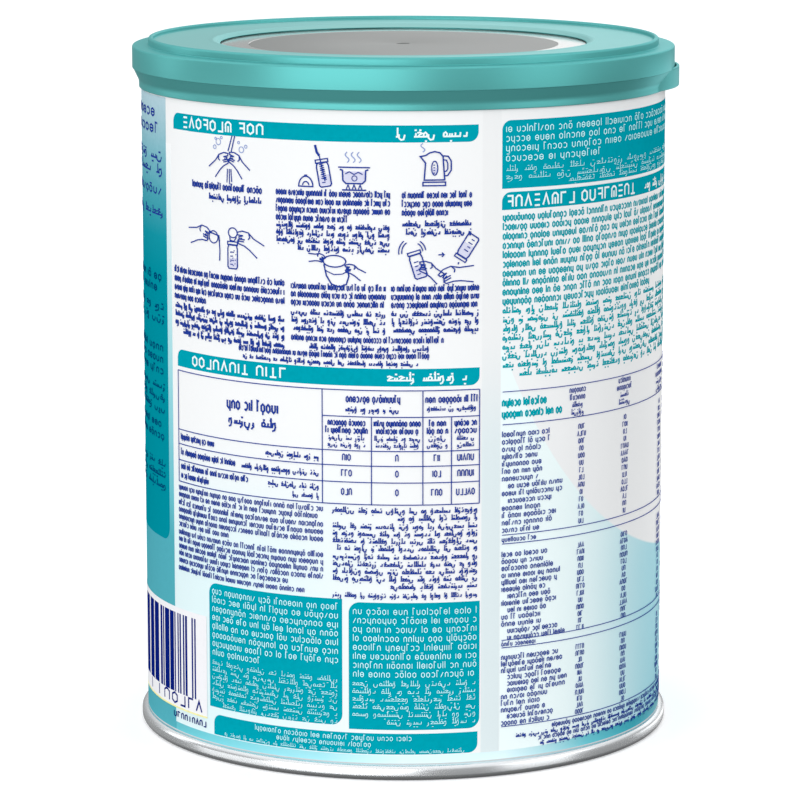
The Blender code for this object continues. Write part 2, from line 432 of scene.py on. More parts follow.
def add_object(name, data):
    obj = bpy.data.objects.new(name, data)
    bpy.context.scene.collection.objects.link(obj)
    return obj


def add_mesh(name, shape):
    """Turns a bmesh into an object of the scene."""
    mesh = bpy.data.meshes.new(name)
    shape.to_mesh(mesh)
    shape.free()
    return add_object(name, mesh)


def add_solid(name, shape, sharp=35):
    """Turns a bmesh into a smooth object whose edges are sharp from that angle on."""
    bmesh.ops.recalc_face_normals(shape, faces=shape.faces)
    obj = add_mesh(name, shape)
    obj.data.shade_smooth()
    obj.data.set_sharp_from_angle(angle=math.radians(sharp))
    return obj


def piece(name, shape, finish, sharp=35):
    """Turns a bmesh into a piece that rides on the tin."""
    obj = add_solid(name, shape, sharp)
    obj.data.materials.append(finish)
    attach(obj, "root")
    return obj


def arc(centre_r, centre_z, radius, start, end, steps):
    """Points on an arc in the (r, z) plane, with both ends."""
    points = []
    for i in range(steps + 1):
        angle = math.radians(start + (end - start) * i / steps)
        points.append((centre_r + radius * math.cos(angle), centre_z + radius * math.sin(angle)))
    return points


def turned(profile, closed):
    """A bmesh of a profile of (r, z) points turned about Z, with points on the axis kept single."""
    shape = bmesh.new()
    rings = []
    for r, z in profile:
        if r == 0:
            rings.append([shape.verts.new((0, 0, z * MM))] * SEGMENTS)
            continue
        ring = []
        for k in range(SEGMENTS):
            turn = 2 * math.pi * k / SEGMENTS
            ring.append(shape.verts.new((r * math.cos(turn) * MM, r * math.sin(turn) * MM, z * MM)))
        rings.append(ring)
    pairs = list(zip(rings, rings[1:]))
    if closed:
        pairs.append((rings[-1], rings[0]))
    for upper, lower in pairs:
        for k in range(SEGMENTS):
            n = (k + 1) % SEGMENTS
            corners = [upper[k], lower[k], lower[n], upper[n]]
            shape.faces.new(list(dict.fromkeys(corners)))
    return shape


def make_wall(finish):
    """The printed wall with the top seam under the lid, shut and solid."""
    upper, lower = TOP_SEAM_ROUND, TOP_SEAM_LOW_ROUND
    profile = [(0, TIN_TOP)]
    profile += arc(TOP_SEAM_R - upper, TIN_TOP - upper, upper, 90, 0, 6)
    profile += arc(TOP_SEAM_R - lower, TOP_SEAM_LOW + lower, lower, 0, -60, 4)
    profile += [(WALL_R, NECK_TOP), (WALL_R, BASE_H - SEAM_FILL), (0, BASE_H - SEAM_FILL)]
    wall = piece("tin_wall", turned(profile, closed=False), finish)
    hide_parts("tin_body")


def make_base(finish):
    """The double seam with rounded shoulder and foot, and the stepped panel under the tin."""
    profile = [(0, BASE_H)]
    profile += arc(BASE_R - SEAM_SHOULDER, BASE_H - SEAM_SHOULDER, SEAM_SHOULDER, 90, 0, 12)
    profile += arc(BASE_R - SEAM_FOOT, SEAM_FOOT, SEAM_FOOT, 0, -90, 10)
    profile += arc(FOOT_IN_R, FOOT_INNER_ROUND, FOOT_INNER_ROUND, -90, -180, 6)
    profile += [(CHUCK_WALL_R, COUNTERSINK_Z)]
    level, other = COUNTERSINK_Z, PANEL_Z
    for radius in BEAD_RADII:
        for i in range(7):
            share = i / 6
            ease = share * share * (3 - 2 * share)
            profile.append((radius - BEAD_SLOPE * share, level + (other - level) * ease))
        level, other = other, level
    profile += [(0, level)]
    base = piece("steel_base", turned(profile, closed=False), finish, sharp=50)
    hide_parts("base_end")


def cove_radius(z):
    """Radius of the lid's skin between the band and the lip."""
    if z >= COVE_MID_Z:
        share = (z - COVE_MID_Z) / (BAND_LOW - COVE_MID_Z)
        return COVE_MID_R + share * (BAND_R - BAND_LOW_ROUND - COVE_MID_R)
    share = max(0, (z - LIP_TOP) / (COVE_MID_Z - LIP_TOP))
    return LIP_R + (COVE_MID_R - LIP_R) * share**2


def lid_profile():
    """Section of the lid: recess rim, stacking ring, band, cove and lip, then back up inside."""
    floor = RECESS_Z + FIT
    profile = [(RIM_LIP_R, floor)]
    for i in range(13):
        angle = math.radians(90 * i / 12)
        r = RIM_START_R - (RIM_START_R - RIM_EDGE_R) * math.cos(angle)
        bead = RIM_BEAD * math.exp(-(((r - RIM_BEAD_R) / RIM_BEAD_WIDE) ** 2))
        profile.append((r, RIM_EDGE_Z + (ANNULUS_Z - RIM_EDGE_Z) * math.sin(angle) + bead))
    profile += [(RIM_START_R + 0.5, ANNULUS_Z + 0.012), (RIM_START_R + 1.1, ANNULUS_Z)]
    foot = RING_FOOT_ROUND
    half = (RING_OUT_R - RING_IN_R) / 2
    profile += arc(RING_IN_R - foot, ANNULUS_Z + foot, foot, -90, 0, 5)
    profile += arc(RING_IN_R + half, RING_TOP - half, half, 180, 0, 14)
    profile += arc(RING_OUT_R + foot, LEDGE_Z + foot, foot, 180, 270, 5)
    profile += arc(BAND_R - BAND_TOP_ROUND, LEDGE_Z - BAND_TOP_ROUND, BAND_TOP_ROUND, 90, 0, 7)
    profile += arc(BAND_R - BAND_LOW_ROUND, BAND_LOW + BAND_LOW_ROUND, BAND_LOW_ROUND, 0, -90, 4)
    for i in range(15):
        z = BAND_LOW - 0.02 + (LIP_TOP - BAND_LOW + 0.02) * i / 14
        profile.append((cove_radius(z), z))
    profile += arc(LIP_R - LIP_ROUND, LIP_LOW + LIP_ROUND, LIP_ROUND, 0, -90, 4)
    profile += [(LIP_BORE_R, LIP_LOW), (LIP_BORE_R, NECK_TOP - FIT), (CAVITY_R, CAVITY_LOW)]
    profile += [(CAVITY_R, CAVITY_TOP), (CENTRE_RING_R + FIT, CAVITY_TOP), (CENTRE_RING_R + FIT, floor)]
    return profile


def on_circle(radius, angle, z):
    """A place in metres at that many degrees from +X."""
    turn = math.radians(angle)
    return Vector((radius * math.cos(turn), radius * math.sin(turn), z)) * MM


def tab_section(out):
    """Section of the tab where its face is that far from the axis. Its ends thin out into the cove."""
    # near its ends the strip, its edges and its gap shrink, and each height stays under the one above it
    thick = min(TAB_THICK, 0.8 * (out - TAB_ROOT_R))
    edge = min(TAB_EDGE, 0.45 * thick)
    inner = out - thick
    slope = (BAND_LOW - COVE_MID_Z) / (BAND_R - BAND_LOW_ROUND - COVE_MID_R)
    top = min(TAB_TOP, COVE_MID_Z + (out - COVE_MID_R) * slope + TAB_SUNK)
    floor = min(TAB_GAP_FLOOR, top - 0.6)
    section = [(TAB_ROOT_R, TAB_LOW)]
    section += arc(out - edge, TAB_LOW + edge, edge, -90, 0, 4)
    low, high = TAB_LOW + edge, top - edge
    section += [(out, low + (high - low) * i / 10) for i in range(1, 10)]
    section += arc(out - edge, high, edge, 0, 90, 4)
    section += arc(inner + edge, high, edge, 90, 180, 4)
    section += [(inner, floor), (min(COVE_MID_R, inner - 0.02), floor)]
    section += [(min(COVE_MID_R - TAB_BURIED, inner - 0.04), min(COVE_MID_Z, floor - 0.2))]
    section += [(TAB_ROOT_R, min(LIP_TOP, floor - 0.3))]
    return section


def tab_shape():
    """The thumb tab: a curved strip that stands off the band and runs into the cove at both ends."""
    centre = TAB_OUT_R - TAB_BEND_R
    end = math.acos((TAB_END_R**2 + centre**2 - TAB_BEND_R**2) / (2 * TAB_END_R * centre))
    shape = bmesh.new()
    rows = []
    for i in range(TAB_ROWS + 1):
        turn = end * (2 * i / TAB_ROWS - 1)
        out = centre * math.cos(turn) + math.sqrt(TAB_BEND_R**2 - (centre * math.sin(turn)) ** 2)
        rows.append([shape.verts.new(on_circle(r, math.degrees(turn), z)) for r, z in tab_section(out)])
    shape.faces.new(rows[0])
    shape.faces.new(rows[-1])
    for first, second in zip(rows, rows[1:]):
        for k in range(len(first)):
            n = (k + 1) % len(first)
            shape.faces.new((first[k], first[n], second[n], second[k]))
    return shape


def make_lid(finish):
    """The lid, with its tab fused on."""
    lid = piece("lid_moulding", turned(lid_profile(), closed=True), finish)
    tab = add_solid("tab", tab_shape())
    union = lid.modifiers.new("tab", "BOOLEAN")
    union.operation = "UNION"
    union.object = tab
    graph = bpy.context.evaluated_depsgraph_get()
    joined = bpy.data.meshes.new_from_object(lid.evaluated_get(graph))
    lid.modifiers.clear()
    lid.data = joined
    bpy.data.objects.remove(tab)
    lid.data.shade_smooth()
    lid.data.set_sharp_from_angle(angle=math.radians(27))
    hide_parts("lid")


def make_centre(ring_finish, disc_finish):
    """Pale ring and grey disc, which meet with no gap to be seen, and the disc's gate mark."""
    low = TIN_TOP + FIT
    edge = 0.1
    bore = DISC_R + 0.02
    profile = [(bore, RECESS_Z - edge), (bore + edge, RECESS_Z), (CENTRE_RING_R, RECESS_Z)]
    profile += [(CENTRE_RING_R, low), (bore, low)]
    ring = piece("pale_ring", turned(profile, closed=True), ring_finish)
    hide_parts("centre_ring")
    mark, dip, face = GATE_MARK_R, RECESS_Z - 0.4, RECESS_Z - 0.02
    profile = [(0, dip), (mark - 0.2, dip), (mark - 0.1, RECESS_Z), (mark + 0.1, RECESS_Z)]
    profile += [(mark + 0.2, face - 0.03), (mark + 0.35, face), (DISC_R - edge, face)]
    profile += [(DISC_R, RECESS_Z - edge), (DISC_R, low), (0, low)]
    disc = piece("grey_disc", turned(profile, closed=False), disc_finish)
    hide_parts("centre_disc")


def stroke(*points):
    """A drawn line through points in hundredths of the row's height."""
    return tuple((x / 100, y / 100) for x, y in points)


# Shapes of the generic print. They stand for words and spell none.
RING = stroke((19, 0), (38, 16), (38, 56), (19, 72), (0, 56), (0, 16))
ARCH = stroke((0, 0), (0, 56), (18, 72), (36, 56), (36, 0))
CUP = stroke((0, 72), (0, 16), (18, 0), (36, 16), (36, 72))
LEFT_HOOK = stroke((0, 62), (16, 72), (36, 54), (36, 18), (16, 0), (0, 10))
STEM = stroke((0, 0), (0, 72))
TALL = stroke((0, 0), (0, 100))
FLAG = stroke((0, 0), (0, 100), (22, 94))
SLANT = stroke((0, 0), (30, 72))
MIDDLE_BAR = stroke((4, 36), (34, 36))
OVERBAR = stroke((4, 98), (34, 98))
TAIL = stroke((19, -26), (19, 0))
SIDE_TAIL = stroke((36, -26), (36, 20))
PLAIN_MARKS = (
    (RING,), (ARCH,), (CUP,), (LEFT_HOOK,), (STEM,), (TALL,), (FLAG,), (RING, MIDDLE_BAR),
    (RING, OVERBAR), (RING, TAIL), (CUP, SIDE_TAIL), (SLANT,),
)
PLAIN_SHARES = (18, 18, 10, 10, 10, 10, 8, 14, 5, 6, 6, 3)
HIGH_RING = stroke((22, 0), (44, 22), (44, 78), (22, 100), (0, 78), (0, 22))
HIGH_ARCH = stroke((0, 0), (0, 80), (14, 100), (30, 100), (44, 80), (44, 0))
HIGH_CUP = stroke((0, 100), (0, 20), (14, 0), (30, 0), (44, 20), (44, 100))
WEDGE = stroke((0, 0), (24, 100), (48, 0))
GATE = stroke((0, 0), (0, 100), (40, 100))
HEEL = stroke((0, 0), (40, 0), (40, 100))
CAPITAL_MARKS = (
    (HIGH_RING,), (HIGH_ARCH,), (HIGH_CUP,), (WEDGE,), (GATE,), (HEEL,), (TALL,),
    (stroke((0, 0), (46, 0)), stroke((23, 0), (23, 100))),
    (stroke((0, 100), (40, 100), (40, 0)), stroke((4, 50), (40, 50))),
    (HIGH_ARCH, stroke((22, 0), (22, 60))),
    (stroke((0, 100), (40, 100)), stroke((0, 50), (40, 50)), stroke((0, 0), (40, 0))),
)
CAPITAL_SHARES = (14, 12, 10, 9, 9, 9, 9, 8, 5, 7, 6)
MARK_SETS = {
    "plain": (PLAIN_MARKS, PLAIN_SHARES),
    "capital": (CAPITAL_MARKS, CAPITAL_SHARES),
    "figure": (CAPITAL_MARKS[:7], CAPITAL_SHARES[:7]),
}
CLOSED_SHAPES = (RING, HIGH_RING)
FLOW_MARKS = (
    (stroke((16, 10), (18, 46)),), (stroke((16, 10), (16, 100)),),
    (stroke((2, 10), (4, 40), (20, 52), (34, 36), (30, 10)),),
    (stroke((0, 46), (20, 54), (42, 42), (20, 30), (8, 10)),),
    (stroke((10, 10), (14, 40)), stroke((30, 10), (34, 40))),
)
FLOW_SHARES = (26, 24, 20, 14, 16)
FLOW_ENDS = (
    stroke((0, 34), (0, -2), (18, -22), (42, -16), (52, 30)), stroke((10, 36), (14, -4), (-8, -30)),
    stroke((0, 10), (30, 10), (34, 50)),
    stroke((0, 10), (4, 44), (24, 50), (30, 10), (20, -20), (0, -28)),
)
FLOW_BASE = 0.1  # height of the line that joins flowing marks
MARK_GAP = 0.27
WORD_GAP = 0.7
MARK_STEP = 0.58  # a mark with its gap, about
WORD_COUNTS = (2, 3, 4, 5, 6, 7, 8, 9)

chance = random.Random(7)  # draws every mark of the print, so the order of the rows matters


class Face(NamedTuple):
    """How a row is set: the kind of its marks, how wide they are, the weight of their lines and the share
    of a millimetre by which each millimetre widens them towards the right."""

    style: str
    wide: float
    weight: float
    bend: float = 0.0


def plain_word(style, count):
    """Lines of one generic word in row heights, as (points, closed), and the word's length."""
    lines, at = [], 0.0
    marks, shares = MARK_SETS[style]
    for _ in range(count):
        shapes = chance.choices(marks, shares)[0]
        for shape in shapes:
            lines.append(([(at + x, y) for x, y in shape], shape in CLOSED_SHAPES))
        at += max(x for shape in shapes for x, _ in shape) + MARK_GAP
    return lines, at - MARK_GAP


def flowing_word(count):
    """The same for one generic word whose curved marks join along a base line, with dots over and under."""
    lines, at, joined = [], 0.0, 0.0
    for i in range(count):
        ends = i == count - 1 or chance.random() < 0.22
        shapes = (chance.choice(FLOW_ENDS),) if ends else chance.choices(FLOW_MARKS, FLOW_SHARES)[0]
        wide = max(x for shape in shapes for x, _ in shape) + 0.12
        for shape in shapes:
            lines.append(([(at + x, y) for x, y in shape], False))
        dot = chance.random()
        if dot < 0.5:
            low, middle = (0.74 if dot < 0.32 else -0.36), at + wide / 2
            lines.append(([(middle - 0.1, low), (middle + 0.1, low)], False))
        at += wide
        if ends:
            lines.append(([(joined, FLOW_BASE), (at - wide + 0.06, FLOW_BASE)], False))
            at += 0.14
            joined = at
    return [line for line in lines if line[0][0] != line[0][-1]], at - 0.14


def make_word(style, count):
    return flowing_word(count) if style == "flowing" else plain_word(style, count)


def make_words(style, limit):
    """Lines of generic words that fill that length in row heights, and how far they reach."""
    row, place, reach = [], 0.0, 0.0
    while limit - place > 0.8:
        lines, length = make_word(style, chance.choice(WORD_COUNTS))
        if place + length > limit:
            lines, length = make_word(style, max(1, int((limit - place) / MARK_STEP)))
            if place + length > limit + 0.5:
                break
        row += [([(place + x, y) for x, y in points], closed) for points, closed in lines]
        reach = place + length
        place = reach + WORD_GAP
    return row, reach


def spaced(points, closed):
    """The (angle, z) points with more between those that lie far apart, so that a line keeps to the wall."""
    placed = []
    ends = points[1:] + points[:1] if closed else points[1:]
    for (angle, z), (end, end_z) in zip(points, ends):
        steps = max(1, math.ceil(abs(end - angle) / 3))
        placed += [(angle + (end - angle) * i / steps, z + (end_z - z) * i / steps) for i in range(steps)]
    return placed if closed else placed + points[-1:]


class Print:
    """Collects the printed patches of one colour, which become one piece.

    A patch is a thin closed slab that follows the wall. Its outer face stands out by its layer.
    """

    LAYER = 0.03
    DEPTH = 1.6  # of a slab, in layers

    def __init__(self, name, finish, layer=1):
        self.name = name
        self.finish = finish
        self.outer = WALL_R + self.LAYER * layer
        self.inner = WALL_R + self.LAYER * (layer - self.DEPTH)
        self.shape = bmesh.new()

    def corner(self, angle, z, radius):
        turn = math.radians(angle)
        return self.shape.verts.new((radius * math.sin(turn) * MM, -radius * math.cos(turn) * MM, z * MM))

    def slab(self, pairs, closed=False):
        """A patch from pairs of (angle, z) points, its low and its high side from left to right."""
        rows = []
        for low, high in pairs:
            rows.append([self.corner(*low, self.outer), self.corner(*high, self.outer),
                         self.corner(*high, self.inner), self.corner(*low, self.inner)])
        links = list(zip(rows, rows[1:]))
        if closed:
            links.append((rows[-1], rows[0]))
        for first, second in links:
            for k in range(4):
                n = (k + 1) % 4
                self.shape.faces.new((first[k], second[k], second[n], first[n]))
        if not closed:
            self.shape.faces.new(rows[0])
            self.shape.faces.new(rows[-1][::-1])

    def box(self, left, right, low, high, radius=0, corners=()):
        """A field. Corners names the rounded ones, such as tl for the top left."""
        places = {left, right}
        steps = max(1, math.ceil((right - left) / 2.0))
        places.update(left + (right - left) * i / steps for i in range(steps + 1))
        if corners:
            for i in range(9):
                reach = radius * ACROSS * (1 - math.cos(math.pi / 2 * i / 8))
                places.update((left + reach, right - reach))

        def eaten(distance):
            gap = max(0.0, radius - distance / ACROSS)
            return radius - math.sqrt(max(0.0, radius**2 - gap**2))

        pairs = []
        for angle in sorted(places):
            cut = {"l": eaten(angle - left), "r": eaten(right - angle)}
            up = max([cut[side] for side in "lr" if "t" + side in corners] or [0])
            down = max([cut[side] for side in "lr" if "b" + side in corners] or [0])
            pairs.append(((angle, low + down), (angle, high - up)))
        self.slab(pairs)

    def line(self, points, width, closed=False):
        """A drawn line of that width in millimetres through (angle, z) points."""
        flat = [Vector((angle / ACROSS, z)) for angle, z in spaced(points, closed)]
        pairs = []
        count = len(flat)
        for i, here in enumerate(flat):
            before = flat[i - 1] if i or closed else None
            after = flat[(i + 1) % count] if i < count - 1 or closed else None
            way_in = (here - before).normalized() if before is not None else None
            way_out = (after - here).normalized() if after is not None else None
            way_in, way_out = way_in or way_out, way_out or way_in
            way = (way_in + way_out).normalized()
            side = Vector((way.y, -way.x))
            half = width / 2 / max(0.4, abs(way.dot(way_in)))
            low, high = here + side * half, here - side * half
            pairs.append(((low.x * ACROSS, low.y), (high.x * ACROSS, high.y)))
        self.slab(pairs, closed)

    def lay(self, lines, left, z, size, face, wide):
        """Lays the lines of a row on the wall, that wide to a row height."""
        for points, closed in lines:
            placed = []
            for x, y in points:
                along = x * size * wide
                placed.append((left + ACROSS * along * (1 + face.bend * along), z + y * size))
            self.line(placed, size * face.weight, closed)

    def row(self, left, right, z, size, face):
        """One row of generic print that fills its place from left to right, with its base at z."""
        span = (right - left) / ACROSS
        if face.bend:
            span = (math.sqrt(1 + 4 * face.bend * span) - 1) / (2 * face.bend)
        limit = span / (size * face.wide)
        lines, reach = make_words(face.style, limit)
        if lines:
            self.lay(lines, left, z, size, face, face.wide * limit / reach)

    def block(self, left, right, top, pitch, rows, size, face, last=1):
        """Rows of generic print under each other, with that share of the last one."""
        for i in range(rows):
            begin, end = left, right
            if i == rows - 1 and face.style == "flowing":
                begin = right - (right - left) * last
            elif i == rows - 1:
                end = left + (right - left) * last
            self.row(begin, end, top - size - pitch * i, size, face)

    def word(self, middle, z, size, count, face):
        """One generic word of that many marks, set about its middle."""
        lines, length = make_word(face.style, count)
        self.lay(lines, middle - length / 2 * size * face.wide * ACROSS, z, size, face, face.wide)

    def make(self):
        return piece(self.name, self.shape, self.finish)


def round_points(radius, start=0, end=360, steps=20, tall=1.0, x=0.0, y=0.0):
    """Points in millimetres on a circle, an oval or an arc of one."""
    points = []
    for i in range(steps + 1):
        turn = math.radians(start + (end - start) * i / steps)
        points.append((x + radius * math.cos(turn), y + radius * tall * math.sin(turn)))
    return points


class Drawing:
    """A small drawing on the wall. Its points are in millimetres about its middle."""

    SPREAD = 1.12  # how much wider its lines print than they are drawn

    def __init__(self, inks, angle, z):
        self.inks = inks
        self.angle = angle
        self.z = z

    def place(self, points):
        return [(self.angle + x * ACROSS, self.z + y) for x, y in points]

    def line(self, points, width=0.27, closed=False, colour="navy"):
        self.inks[colour].line(self.place(points), width * self.SPREAD, closed)

    def ring(self, x, y, radius, width=0.24, tall=1.0, colour="navy", steps=24):
        points = round_points(radius, 0, 360 - 360 / steps, steps - 1, tall, x, y)
        self.inks[colour].line(self.place(points), width, closed=True)

    def fill(self, left, right, low, high, colour="lilac", steps=14):
        """A field between two curves, each a height for a place across."""
        pairs = []
        for i in range(steps + 1):
            x = left + (right - left) * i / steps
            bottom = low(x)
            pairs.append(tuple(self.place([(x, bottom), (x, max(high(x), bottom + 0.03))])))
        self.inks[colour].slab(pairs)

    def field(self, left, right, low, high, colour="lilac"):
        self.fill(left, right, lambda x: low, lambda x: high, colour, 4)

    def steam(self, x, y, tall):
        wave = [(x + 0.45 * math.sin(i * math.pi / 5), y + tall * i / 10) for i in range(11)]
        self.line(wave, 0.2, colour="blue_lines")

    def beaker(self, x, y, tilt, dots=0, full=0.0):
        """A beaker with a collar and level marks, leaning by tilt degrees and full to that height."""
        across, up = math.cos(math.radians(tilt)), math.sin(math.radians(tilt))

        def lean(points):
            return [(x + across * a - up * b, y + up * a + across * b) for a, b in points]

        self.line(lean([(-1.2, 2.2), (-1.45, 1.4), (-1.45, -2.9), (-1.1, -3.3), (1.1, -3.3), (1.45, -2.9),
                        (1.45, 1.4), (1.2, 2.2)]), 0.27, True)
        self.line(lean([(-1.5, 2.3), (1.5, 2.3), (1.5, 3.0), (-1.5, 3.0)]), 0.24, True)
        if full:
            low, high = (-3.0, -3.0 + full) if abs(tilt) < 90 else (2.0 - full, 2.0)
            corners = self.place(lean([(-1.2, low), (-1.2, high), (1.2, low), (1.2, high)]))
            self.inks["lilac"].slab([corners[:2], corners[2:]])
        for i in range(4):
            self.line(lean([(-0.7, -2.3 + 0.95 * i), (0.1 + 0.3 * (i % 2), -2.3 + 0.95 * i)]), 0.2)
        for i in range(dots):
            a, b = 0.8 * math.sin(i * 2.4), -2.6 + 3.9 * i / dots
            self.line(lean([(a + 0.1, b), (a + 0.32, b + 0.1)]), 0.2)

    def hand(self, x, y, flip, tilt=0.0, size=1.0):
        """A reaching hand in a few strokes: the back, the thumb and three fingers.

        Flip is 1 for an arm to the right and -1 for one to the left, which tilt degrees raise.
        """
        strokes = (
            [(6.8, 1.5), (3.7, 1.5), (1.9, 2.0), (0.2, 1.5), (-0.9, 0.5), (-0.5, 0.1), (0.9, 0.7)],
            [(6.4, -1.9), (3.8, -1.3), (2.2, -1.2), (0.6, -1.5), (0.1, -1.1), (1.7, -0.4)],
            [(0.9, 0.7), (0.0, -0.1), (0.3, -0.5), (1.7, 0.1)],
            [(0.9, 0.1), (0.1, -0.7), (0.5, -1.0)],
            [(2.0, 2.0), (2.7, 1.2), (2.5, 0.6)],
        )
        across, up = size * math.cos(math.radians(tilt)), size * math.sin(math.radians(tilt))
        for points in strokes:
            self.line([(x + flip * (a * across - b * up), y + a * up + b * across) for a, b in points], 0.25)


def draw_washing(inks):
    """Hands under running water, with bubbles."""
    art = Drawing(inks, -39.4, 144.2)
    for high, low in ((1.0, -0.3), (1.8, 0.7)):
        art.line([(high, 5.6), (low, 1.9)], 0.24)
    art.hand(0.5, 0.8, 1, -40, 0.92)
    art.hand(-0.7, 0.5, -1, -36, 0.92)
    for x, low in ((-0.7, -5.4), (0.1, -5.8), (0.8, -5.2)):
        art.line([(x * 0.7, -2.2), (x, low)], 0.22)
    for x, y, radius in ((-3.4, 3.9, 0.75), (-4.6, 2.6, 0.45), (-2.4, 4.9, 0.3), (3.7, 2.5, 0.7),
                         (5.0, 3.3, 0.36), (2.9, 4.1, 0.3), (-4.3, 4.6, 0.26)):
        art.ring(x, y, radius, 0.18, colour="blue_lines", steps=12)


def draw_boiling(inks):
    """A cap, a beaker with its brush, and a pan that steams over its flames."""
    art = Drawing(inks, -14.4, 143.8)
    art.line(round_points(1.75, 0, 180, 12, 1.35, -6.9, -4.6), 0.27, True)
    art.line(round_points(0.8, 10, 170, 8, 1.3, -6.9, -4.5), 0.24)
    art.line([(-7.3, -2.4), (-7.1, -2.0), (-6.7, -2.0), (-6.5, -2.4)], 0.24)
    art.beaker(-2.6, -1.2, 10, full=2.4)
    art.line([(-4.6, 5.0), (-4.2, 3.4), (-3.6, 2.6)], 0.5)
    art.line([(-3.6, 2.6), (-2.2, -3.2)], 0.24)
    for i in range(9):
        y = 0.9 - i * 0.45
        art.line([(-3.75 + i * 0.11, y + 0.1), (-2.65 + i * 0.11, y - 0.1)], 0.2)
    art.field(2.2, 7.1, -3.3, -0.8)
    art.line([(1.3, -0.4), (1.9, -0.6), (2.0, -2.9), (2.7, -3.6), (6.5, -3.6), (7.2, -2.9), (7.3, -0.6),
              (7.9, -0.4)], 0.3)
    art.line([(0.9, 0.1), (8.3, 0.1)], 0.27)
    art.line([(2.6, -1.4), (3.5, -0.9), (4.6, -1.5), (5.6, -1.0), (6.6, -1.5)], 0.22)
    art.ring(4.7, -2.4, 0.6, 0.2, steps=12)
    for x in (3.2, 4.6, 6.0):
        art.line([(x - 0.4, -4.9), (x, -3.9), (x + 0.4, -4.9)], 0.22)
        art.steam(x - 0.2, 1.2, 2.4)
    art.line([(1.8, -5.1), (7.4, -5.1)], 0.3)


def draw_kettle(inks):
    """A kettle on its base, with a window in its side."""
    art = Drawing(inks, 6.2, 144.2)
    art.line([(-3.1, 2.3), (-1.9, 2.5), (-1.0, 3.1), (0.2, 3.4), (1.4, 3.1), (2.1, 2.3), (2.5, -3.1),
              (-2.2, -3.1), (-1.9, 0.8)], 0.29, True)
    art.line([(-2.5, -4.4), (2.7, -4.4), (2.7, -3.6), (-2.5, -3.6)], 0.27, True)
    art.line([(2.1, 2.4), (3.3, 2.3), (4.0, 1.2), (4.0, -0.9), (3.2, -2.1), (2.4, -2.2)], 0.27)
    art.line([(2.2, 1.5), (2.9, 1.4), (3.2, 0.6), (3.2, -0.6), (2.9, -1.1), (2.3, -1.2)], 0.24)
    art.field(-0.3, 0.7, -1.8, -0.4)
    art.ring(0.2, -0.4, 0.7, 0.25, 2.3)
    for i in range(4):
        art.line([(-0.1, -1.5 + 0.6 * i), (0.3, -1.5 + 0.6 * i)], 0.18)
    art.steam(-2.5, 3.3, 2.0)


def draw_levelling(inks):
    """A scoop held level, and powder that falls from another one into a beaker."""
    art = Drawing(inks, -41.4, 124.2)
    art.hand(-4.9, 2.0, -1, -6, 1.05)
    art.ring(-3.0, 1.5, 1.5, 0.27, 0.95)
    art.line([(-4.6, 2.6), (-1.2, 1.9), (-1.0, 0.6)], 0.27)
    art.line([(-1.2, 1.9), (-0.9, -1.4), (-1.0, -3.9)], 0.27)
    art.beaker(3.1, -2.1, 0, 9, 2.2)
    art.ring(3.2, 3.0, 1.35, 0.27, 0.85)
    art.line([(2.2, 2.4), (2.4, 1.2), (3.5, 1.0), (4.3, 2.0)], 0.24)
    art.hand(5.1, 2.3, 1, -26, 1.05)


def draw_closing(inks):
    """A lid that hands set on a round tin."""
    art = Drawing(inks, -14.0, 120.4)
    art.ring(-0.5, 1.8, 2.7, 0.29, 0.5)
    art.line([(-3.0, 1.0), (-2.4, -1.6), (-1.2, -3.5), (0.6, -4.1), (2.3, -3.5), (2.9, -1.6),
              (2.6, 0.6)], 0.29)
    art.line([(-2.6, -0.4), (-0.6, -1.3), (1.4, -1.1), (2.8, -0.3)], 0.2)
    art.hand(-3.1, 2.3, -1, 4, 0.55)
    art.hand(2.4, 0.4, 1, -26, 0.66)


def draw_shaking(inks):
    """A beaker that a hand shakes, and one that drips on an open hand."""
    art = Drawing(inks, 7.0, 122.7)
    art.beaker(-4.6, -0.9, 17, full=2.8)
    art.hand(-3.7, -1.2, 1, -34, 0.85)
    for reach, turns in ((2.6, (125, 190)), (3.3, (130, 190)), (2.2, (5, 62)), (2.9, (8, 58))):
        art.line(round_points(reach, *turns, 8, 1.0, -5.6, 1.9), 0.24)
    art.line([(0.2, 1.2), (1.5, 1.2)], 0.24)
    art.line([(1.0, 1.7), (1.5, 1.2), (1.0, 0.7)], 0.24)
    art.beaker(6.8, 2.6, 147, full=3.0)
    art.line([(4.9, -0.6), (4.8, -1.1)], 0.27)
    art.hand(1.2, -3.9, 1, 6, 1.1)


HEADER_FLOW = Face("flowing", 1.1, 0.17)
BOX_CORNERS = ("tl", "br")
BAR_ROUND = 2.2
BOX_ROUND = 2.6


